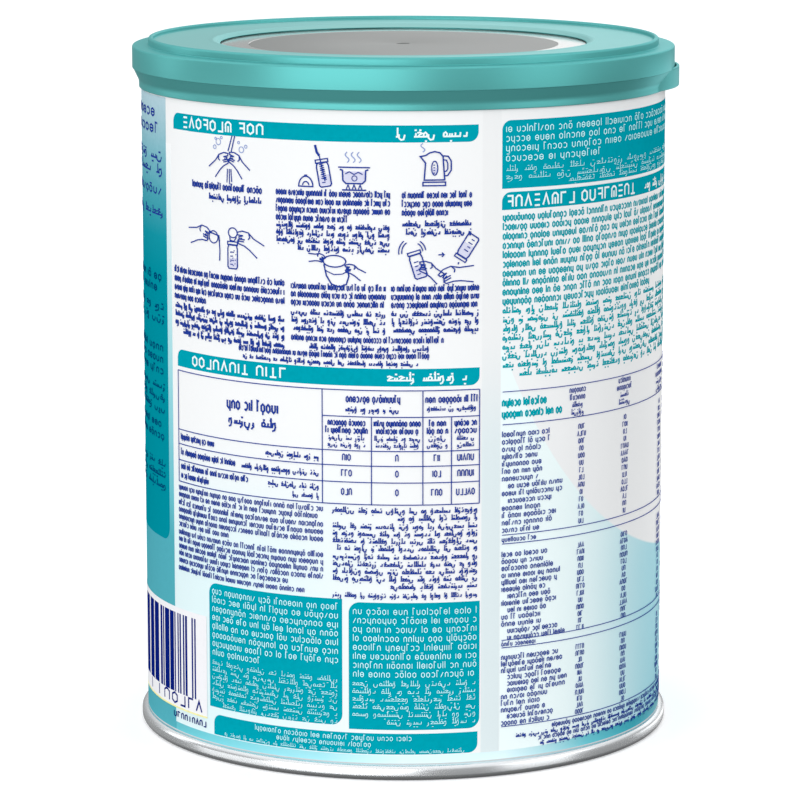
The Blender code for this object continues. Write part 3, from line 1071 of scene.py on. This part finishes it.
def print_steps(inks):
    """Upper left panel: a header bar, six small drawings and the rows under them."""
    navy, white = inks["navy"], inks["white"]
    inks["teal"].box(-58.3, 15.6, 149.7, 153.6, BAR_ROUND, BOX_CORNERS)
    white.row(-54.0, -30.6, 150.5, 2.3, Face("capital", 1.5, 0.19))
    white.row(-1.6, 13.4, 150.8, 2.3, HEADER_FLOW)
    for picture in (draw_washing, draw_boiling, draw_kettle, draw_levelling, draw_closing, draw_shaking):
        picture(inks)
    narrow = Face("plain", 0.64, 0.175)
    flow = Face("flowing", 0.86, 0.225)
    for place in (
        # left, right, top, pitch, rows, size, face, share of the last row
        (-50.8, -31.0, 138.5, 2.6, 1, 1.6, Face("plain", 0.82, 0.195), 1),
        (-45.4, -31.0, 136.0, 2.6, 1, 1.45, flow, 1),
        (-27.4, -2.9, 138.6, 1.95, 4, 1.5, narrow, 0.64),
        (-27.4, -2.9, 131.0, 1.72, 4, 1.35, flow, 0.8),
        (-0.3, 14.1, 138.5, 2.0, 3, 1.5, narrow, 0.65),
        (-0.3, 14.1, 131.9, 1.9, 2, 1.4, flow, 0.95),
        (-58.2, -25.7, 117.4, 2.1, 4, 1.5, Face("plain", 0.74, 0.19), 0.35),
        (-58.0, -25.7, 108.9, 2.0, 4, 1.4, Face("flowing", 0.72, 0.28), 0.9),
        (-24.0, -3.8, 117.0, 1.9, 3, 1.5, narrow, 0.98),
        (-24.0, -3.8, 111.0, 1.9, 3, 1.4, flow, 0.98),
        (-2.5, 15.7, 117.0, 1.9, 3, 1.5, narrow, 0.98),
        (-2.5, 15.7, 111.2, 1.9, 3, 1.4, flow, 0.98),
    ):
        navy.block(*place)
    navy.row(-24.0, 8.2, 103.5, 1.45, narrow)
    navy.row(-20.0, 5.2, 101.7, 1.3, flow)
    navy.row(-37.0, 5.2, 99.9, 1.4, narrow)
    navy.row(-36.0, 3.0, 98.2, 1.2, flow)


def print_table(inks):
    """Middle left panel: a header bar, a ruled table and the notes under it."""
    navy, white = inks["navy"], inks["white"]
    inks["teal"].box(-57.4, 16.0, 93.4, 97.5, BAR_ROUND, BOX_CORNERS)
    white.row(-51.4, -25.4, 94.3, 2.25, Face("capital", 1.42, 0.19))
    white.row(-3.4, 13.4, 94.6, 2.2, HEADER_FLOW)
    left, right, top, low = -57.2, 16.0, 92.4, 65.6
    column_1, column_2, column_3, column_4 = -17.2, -6.7, 4.0, 10.0
    under_heads, row_1, row_2, row_3 = 86.2, 78.2, 74.7, 70.8
    half = 0.11  # of a rule's width
    for z in (top, row_1, row_2, row_3, low):
        navy.box(left, right, z - half, z + half)
    navy.box(column_1, right, under_heads - half, under_heads + half)
    for angle, upper in ((left, top), (column_1, top), (column_2, under_heads), (column_3, top),
                         (column_4, under_heads), (right, top)):
        navy.box(angle - half * ACROSS, angle + half * ACROSS, low, upper)
    narrow = Face("plain", 0.7, 0.17)
    flow = Face("flowing", 0.84, 0.2)
    navy.row(-40.4, -27.4, 85.8, 2.6, Face("plain", 0.8, 0.17))
    navy.row(-40.0, -27.6, 82.2, 2.4, Face("flowing", 0.95, 0.18))
    navy.row(-12.0, -0.8, 89.6, 1.75, narrow)
    navy.row(-12.2, -1.0, 87.4, 1.4, flow)
    navy.row(4.6, 15.4, 89.6, 1.65, narrow)
    navy.row(4.8, 15.2, 87.7, 1.2, flow)
    head = narrow._replace(weight=0.19)
    head_flow = flow._replace(weight=0.19)
    for begin, end in ((-16.6, -7.4), (-6.2, 3.5), (4.7, 9.4), (10.6, 15.4)):
        for z, size, face in ((84.1, 1.45, head), (82.3, 1.45, head), (80.7, 1.2, head_flow),
                              (79.1, 1.15, head_flow)):
            cut = chance.uniform(0.0, 1.6)
            navy.row(begin + cut / 2, end - cut / 2, z, size, face)
    for z in (75.9, 72.2, 67.8):
        for middle, count in ((-12.0, 3), (-1.4, 1), (6.9, 3), (13.0, 5)):
            navy.word(middle, z, 1.45, count, Face("figure", 0.9, 0.17))
    for place in (
        # left, right, base, size, face
        (-56.2, -44.6, 75.9, 1.5, narrow),
        (-30.4, -18.0, 75.9, 1.35, flow),
        (-56.2, -38.4, 72.2, 1.5, narrow),
        (-36.6, -18.0, 72.1, 1.35, flow),
        (-56.2, -35.0, 68.8, 1.45, narrow),
        (-56.2, -46.4, 66.6, 1.4, narrow),
        (-29.8, -18.0, 68.8, 1.3, flow),
        (-24.0, -18.0, 66.7, 1.2, flow),
    ):
        navy.row(*place)
    note = Face("plain", 0.86, 0.155)
    note_flow = Face("flowing", 0.98, 0.2)
    navy.block(-57.2, -17.2, 65.0, 1.75, 2, 1.35, note, 0.97)
    navy.block(-57.3, -17.2, 61.3, 1.75, 4, 1.35, note, 0.42)
    navy.block(-57.4, -17.2, 54.1, 1.72, 5, 1.35, note, 0.8)
    navy.row(-57.6, -21.4, 44.0, 1.3, note)
    navy.block(-15.0, 15.6, 65.0, 1.75, 2, 1.35, note_flow, 0.55)
    navy.block(-15.0, 15.6, 61.3, 1.75, 4, 1.35, note_flow, 0.97)
    navy.block(-15.0, 15.6, 54.1, 1.75, 5, 1.35, note_flow, 0.6)
    navy.row(-15.0, 15.6, 43.6, 1.2, note_flow)


def print_boxes(inks):
    """Lower left panel: three teal boxes with pale rows."""
    teal, pale = inks["teal"], inks["pale_rows"]
    plain = Face("plain", 1.12, 0.092)
    flow = Face("flowing", 1.2, 0.076)
    teal.box(-46.5, -13.0, 12.8, 43.0, BOX_ROUND, BOX_CORNERS)
    teal.box(-11.6, 16.2, 12.0, 42.4, BOX_ROUND, BOX_CORNERS)
    teal.box(-45.2, 15.8, 6.1, 11.1, BAR_ROUND, BOX_CORNERS)
    pale.block(-45.4, -14.0, 42.0, 2.12, 8, 1.6, plain, 0.42)
    pale.block(-45.6, -14.0, 24.6, 1.68, 7, 1.35, Face("flowing", 1.2, 0.062), 0.9)
    pale.block(-10.6, 15.4, 41.2, 2.14, 8, 1.6, plain, 0.98)
    pale.block(-10.8, 15.4, 23.9, 1.84, 6, 1.4, flow, 0.72)
    pale.row(-33.4, 1.6, 9.4, 1.3, plain)
    pale.row(-28.0, -7.0, 7.85, 1.25, plain)
    pale.row(-42.0, 13.0, 6.45, 1.0, flow)


def print_contents(inks):
    """Right panel: a teal box, a heading, teal rows and a long ruled list, all wider towards the right."""
    teal, white, pale = inks["teal"], inks["white"], inks["pale_rows"]
    teal_rows, navy = inks["teal_rows"], inks["navy_right"]
    left, right = 20.8, RIGHT_END
    begin = left + 0.3
    growth = 0.0055
    plain = Face("plain", 1.16, 0.098, growth)
    light = Face("flowing", 1.4, 0.06, growth)
    narrow = Face("plain", 0.84, 0.2, growth)
    flow = Face("flowing", 1.0, 0.22, growth)
    fine = Face("plain", 0.94, 0.15, growth)
    teal.box(left, right, 138.6, 154.3, BAR_ROUND, ("tl",))
    teal.box(left, right, 133.7, 137.8, BAR_ROUND, ("tl",))
    pale.block(left + 0.9, right - 3, 153.3, 2.2, 3, 1.7, plain)
    pale.row(left + 0.9, 46.0, 144.9, 1.7, plain)
    pale.block(left + 0.9, right - 3, 144.1, 1.85, 2, 1.5, light)
    pale.row(37.0, right - 3, 139.3, 1.45, light)
    white.row(left + 1.2, 59.0, 134.4, 2.5, Face("capital", 1.25, 0.17, 0.0035))
    white.row(64.0, right - 4, 134.8, 2.1, HEADER_FLOW._replace(bend=growth))
    teal_rows.block(begin, right - 2, 132.9, 2.16, 10, 1.65, narrow, 0.6)
    teal_rows.block(begin, right - 2, 111.3, 2.12, 8, 1.55, flow, 0.95)
    half = 0.09  # of a rule's width
    for z in (91.4, 83.7, 57.6, 55.5, 32.5, 30.7, 11.7):
        navy.box(begin, right, z - half, z + half)
    for end, z in ((31.4, 88.0), (35.4, 85.3)):
        teal_rows.row(begin, end, z, 1.8, Face("plain", 0.72, 0.22))
    # heads of the list's columns
    for middle, top, wide in ((39.8, 89.6, 0.7), (55.5, 89.8, 0.82), (77.0, 89.6, 1.1), (91.0, 89.6, 1.1)):
        for i, style in enumerate(("plain", "plain", "flowing", "flowing")):
            navy.word(middle, top - 1.75 * i, 1.4, 7 + i % 2, Face(style, wide * 1.2, 0.115))
    # three parts of the list, with a name and four numbers in each row
    for top, rows, pitch in ((82.0, 14, 1.74), (53.6, 13, 1.66), (29.0, 11, 1.58)):
        for i in range(rows):
            z = top - 1.2 - pitch * i
            start = begin + (1.4 if chance.random() < 0.25 else 0)
            navy.row(start, start + chance.uniform(8, 15), z, 1.3, fine)
            for middle, wide in ((41.0, 0.92), (55.8, 1.15), (77.5, 1.5), (91.0, 1.5)):
                navy.word(middle, z, 1.12, chance.choice((2, 3, 4)), Face("figure", wide, 0.14))
    for place in (
        # left, right, base, size, face
        (begin, 29.0, 56.0, 1.15, fine),
        (begin, 29.0, 31.05, 1.1, fine),
        (33.5, right - 3, 10.1, 1.2, fine),
        (24.5, right - 3, 8.8, 1.05, flow),
        (30.0, right - 5, 7.5, 1.15, fine),
        (30.5, right - 5, 6.3, 1.0, flow),
    ):
        navy.row(*place)


def across_to_angle(x):
    """Angle of a place on the wall that lies x millimetres to the right of the axis."""
    return math.degrees(math.asin(x / WALL_R))


def print_figures(prints, places, z, size, wide, weight):
    """Single marks at places across, which look equally wide from the front."""
    for x in places:
        angle = across_to_angle(x)
        prints.word(angle, z, size, 1, Face("figure", wide / math.cos(math.radians(angle)), weight))


def print_side(inks):
    """The strip at the left with its rows, and the bar block at its foot."""
    line_right = STRIP_EDGE + STRIP_LINE_WIDE
    inks["strip_foot"].box(STRIP_BACK, line_right, PRINT_LOW + 0.16, STRIP_LOW + 2)
    inks["strip"].box(STRIP_BACK, STRIP_EDGE, STRIP_LOW, STRIP_TOP, 3.2, ("br",))
    inks["strip_line"].box(STRIP_EDGE - 0.4, line_right, STRIP_LINE_LOW, STRIP_LINE_TOP)
    for top, size, rows, style, pitch in (
        (151.6, 2.5, 2, "plain", 3.9), (141.6, 2.3, 2, "flowing", 3.4), (133.2, 2.1, 1, "plain", 3.0),
        (128.2, 2.0, 1, "flowing", 3.0), (112.6, 1.9, 2, "plain", 2.8), (105.6, 1.9, 2, "flowing", 2.9),
        (95.6, 1.8, 3, "plain", 2.8), (86.4, 1.7, 3, "flowing", 2.7), (77.0, 1.7, 2, "plain", 2.9),
        (67.6, 1.6, 3, "flowing", 2.7),
    ):
        prints = inks["navy" if top > 120 else "strip_rows"]
        for i in range(rows):
            end = STRIP_EDGE - 1.6 - (chance.uniform(0.0, 5.0) if style == "plain" else 0.0)
            prints.row(-116.0, end, top - pitch * i, size, Face(style, 2.4, 0.17))
    # bars of chance widths in millimetres across, then the thin pair that ends the block
    bars = inks["bars"]
    widths, gaps = (0.3, 0.35, 0.5, 0.85, 1.0, 1.15), (0.2, 0.25, 0.35, 0.5)
    block_left, block_right = -99.0, -47.4
    inks["white_block"].box(block_left, block_right, 9.5, 34.4)
    places = []
    at, last, pair, thin = -62.9, -51.2, (-50.55, -49.85), 0.35
    while at < last - 0.8:
        end = min(last, at + chance.choice(widths))
        places.append((at, end))
        at = end + chance.choice(gaps)
    for begin, end in places + [(begin, begin + thin) for begin in pair]:
        bars.box(across_to_angle(begin), across_to_angle(end), 13.3, 33.0)
    print_figures(bars, (-61.4, -59.3, -57.2, -55.1, -53.0, -50.9, -48.8), 10.5, 2.5, 1.15, 0.19)
    print_figures(bars, [-55.0 + 0.95 * i for i in range(9)], 7.2, 1.3, 1.0, 0.22)
    inks["yellow"].box(block_left, block_right, 9.4, 9.8)


def print_back(inks):
    """The back, plain and generic: a round white field, a beaker and sweeps like poured milk."""
    middle = -152.0
    white, navy = inks["white_block"], inks["navy"]

    def sweep(prints, top, swell, start, low=9.0, steps=72):
        pairs = []
        for i in range(steps + 1):
            angle = STRIP_BACK + (STRIP_EDGE - 40 - STRIP_BACK) * i / steps
            height = top + swell * math.sin(math.radians((angle - middle) * 1.6 + start))
            fade = math.sin(math.pi * i / steps) ** 0.35
            pairs.append(((angle, low), (angle, low + 0.2 + (height - low) * fade)))
        prints.slab(pairs)

    sweep(inks["aqua"], 46.0, 9.0, 40)
    sweep(white, 36.0, 8.0, 10)
    art = Drawing(inks, middle, 96.0)
    field = 24.0
    art.fill(-field, field, lambda x: -math.sqrt(max(0, field**2 - x * x)),
             lambda x: math.sqrt(max(0, field**2 - x * x)), "white_block", 60)
    art.ring(0, 0, 26.0, 1.1, colour="blue_lines", steps=90)
    art.ring(0, 0, 21.6, 0.5, colour="teal_lines", steps=90)
    art.fill(-8.4, 8.4, lambda x: -12.6, lambda x: 1.0 + 0.5 * math.sin(x * 0.8), "milk", 24)
    art.line([(-11.0, 9.0), (-9.2, -12.2), (-8.0, -13.4), (8.0, -13.4), (9.2, -12.2), (11.0, 9.0)], 0.9,
             colour="teal_lines")
    art.ring(0, 9.0, 11.0, 0.7, 0.2, "teal_lines", 40)
    for i in range(4):
        mark = [(-6.4, -9.6 + 3.2 * i), (-2.6 - 1.4 * (i % 2), -9.6 + 3.2 * i)]
        art.line(mark, 0.55, colour="teal_lines")
    for prints, half, z, size, face in (
        (white, 25.0, 137.0, 5.4, Face("capital", 0.9, 0.22)),
        (white, 17.0, 130.0, 3.2, Face("flowing", 0.9, 0.2)),
        (white, 20.0, 62.0, 2.6, Face("plain", 0.8, 0.2)),
        (white, 15.0, 57.8, 2.2, Face("flowing", 0.9, 0.2)),
        (navy, 24.0, 24.0, 2.2, Face("plain", 0.8, 0.2)),
        (navy, 19.0, 20.0, 1.8, Face("flowing", 0.9, 0.2)),
        (navy, 10.0, 14.0, 2.6, Face("capital", 0.8, 0.2)),
    ):
        prints.row(middle - half, middle + half, z, size, face)


# The print's colours: name and layer, then the colour with its shade where the ink lies thick, or the
# function that makes its finish
INKS = (
    ("strip_foot", 1, STRIP_FOOT, 0.94),
    ("strip", 2, side_strip_ink),
    ("teal", 1, TEAL),
    ("strip_line", 1, strip_line_ink),
    ("aqua", 3, srgb(206, 240, 244)),
    ("white_block", 4, srgb(240, 241, 245), 0.96),
    ("lilac", 2, srgb(216, 218, 240), 0.92),
    ("milk", 5, srgb(196, 232, 240), 0.94),
    ("navy", 5, NAVY),
    ("navy_right", 5, NAVY),
    ("strip_rows", 5, srgb(0, 70, 118)),
    ("white", 3, srgb(236, 250, 251), 0.95),
    ("pale_rows", 3, srgb(208, 252, 255), 0.97),
    ("bars", 5, srgb(10, 30, 120)),
    ("teal_rows", 2, srgb(0, 164, 178)),
    ("blue_lines", 3, srgb(140, 160, 212)),
    ("teal_lines", 6, TEAL_DEEP),
    ("yellow", 5, srgb(244, 240, 170)),
)


def make_print():
    """All of the print on the wall, one piece for each colour and layer, and the bare side weld."""
    inks = {}
    for name, layer, colour, *shade in INKS:
        finish = colour() if callable(colour) else ink(name + "_ink", colour, *shade)
        inks[name] = Print("print_" + name, finish, layer)
    weld = Print("side_weld", ink("bare_steel", srgb(206, 210, 214), 0.9), 3)
    weld.box(WELD_ANGLE, WELD_ANGLE + WELD_WIDE, PRINT_LOW, WELD_TOP)
    for panel in (print_steps, print_table, print_boxes, print_contents, print_side, print_back):
        panel(inks)
    for prints in (*inks.values(), weld):
        prints.make()


def make_stage():
    """Plain pale floor, daylight from above and soft boxes round the tin."""
    shape = bmesh.new()
    bmesh.ops.create_grid(shape, x_segments=8, y_segments=8, size=FLOOR_REACH)
    floor = add_mesh("floor", shape)
    floor.data.materials.append(floor_finish())
    floor.visible_diffuse = floor.visible_glossy = floor.visible_shadow = False
    make_daylight()
    for settings in (
        # name, azimuth, distance, low edge, width, height, radiance
        ("main_box", -25, 1.25, -0.4, 1.42, 1.0, 2.36),
        ("rear_left_box", -113, 1.1, -0.14, 0.28, 0.84, 1.5),
        ("rear_right_box", 139, 1.2, -0.3, 0.8, 0.36, 1.2),
        ("front_right_box", 59, 1.3, -0.4, 0.8, 1.0, 1.24),
        ("low_left_box", -74, 1.1, -0.38, 1.0, 0.26, 1.05),
        ("rear_top_box", 157, 1.2, 0.24, 1.1, 0.42, 0.7),
        ("upper_right_box", 72, 1.2, 0.42, 0.9, 0.5, 1.05),
    ):
        soft_box(*settings)


def make_daylight():
    """Sky that is bright above, dim along the horizon and soft from below, as a white table gives back."""
    world = bpy.data.worlds.new("daylight")
    sky = Nodes(world, "Background")
    levels = ((0.0, 0.05), (0.22, 0.1), (0.34, 0.25), (0.38, 0.3), (0.45, 0.37), (0.52, 0.36), (0.6, 0.46),
              (0.75, 0.92), (1.0, 1.25))
    _, _, height = sky.axes("Generated")
    stops = [(share, (level, level, level, 1)) for share, level in levels]
    sky.feed("Color", sky.ramp((height + 1) / 2, stops))
    bpy.context.scene.world = world


def soft_box(name, azimuth, distance, low, wide, tall, radiance):
    """An upright soft box in metres that faces the tin. Azimuth is from the front, positive to the right."""
    light = bpy.data.lights.new(name, "AREA")
    light.shape = "RECTANGLE"
    light.size, light.size_y = wide, tall
    light.energy = radiance * math.pi * wide * tall
    obj = add_object(name, light)
    turn = math.radians(azimuth)
    obj.location = (distance * math.sin(turn), -distance * math.cos(turn), low + tall / 2)
    obj.rotation_euler = (math.radians(90), 0, turn)
    obj.visible_camera = False


def make_camera():
    data = bpy.data.cameras.new("camera")
    data.lens = LENS
    data.sensor_width = SENSOR
    data.clip_start, data.clip_end = 0.01, 50
    camera = add_object("camera", data)
    camera.location = Vector((CAMERA_X, -CAMERA_BACK, CAMERA_H)) * MM
    camera.rotation_euler = (math.radians(90 - CAMERA_DOWN), 0, 0)
    bpy.context.scene.camera = camera
    bpy.context.scene.view_settings.view_transform = "Standard"


make_camera()
make_stage()
make_wall(wall_print())
make_base(rolled_steel())
make_lid(lid_plastic())
make_centre(pale_plastic(), grey_grain())
make_print()
